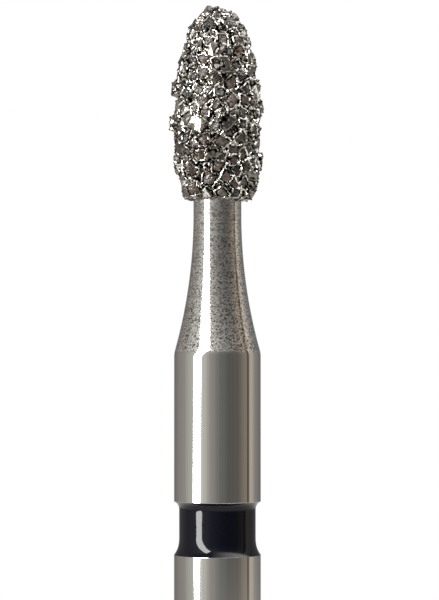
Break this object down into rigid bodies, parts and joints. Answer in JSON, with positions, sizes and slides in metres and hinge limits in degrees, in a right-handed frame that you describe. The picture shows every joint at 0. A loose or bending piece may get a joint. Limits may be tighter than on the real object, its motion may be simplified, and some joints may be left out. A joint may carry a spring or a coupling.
{
  "type": "dental bur",
  "caption": "Friction-grip dental bur: smooth round shank with a black lacquered groove, a concave neck and a bullet-shaped head coated with coarse diamond grit in nickel.",
  "frame": {"origin": "centre of the flat end of the shank", "axes": "+Z along the bur's axis, from the end of the shank to the tip of the head"},
  "size_m": [0.0018, 0.0018, 0.0191],
  "materials": {
    "polished_steel": "polished",
    "plated_nickel": "polished",
    "diamond": "gloss",
    "black_lacquer": "gloss"
  },
  "bodies": {
    "root": {"steel_blank": "polished_steel", "nickel_bond": "plated_nickel", "diamond_grains": "diamond", "lacquer_ring": "black_lacquer"}
  },
  "joints": []
}
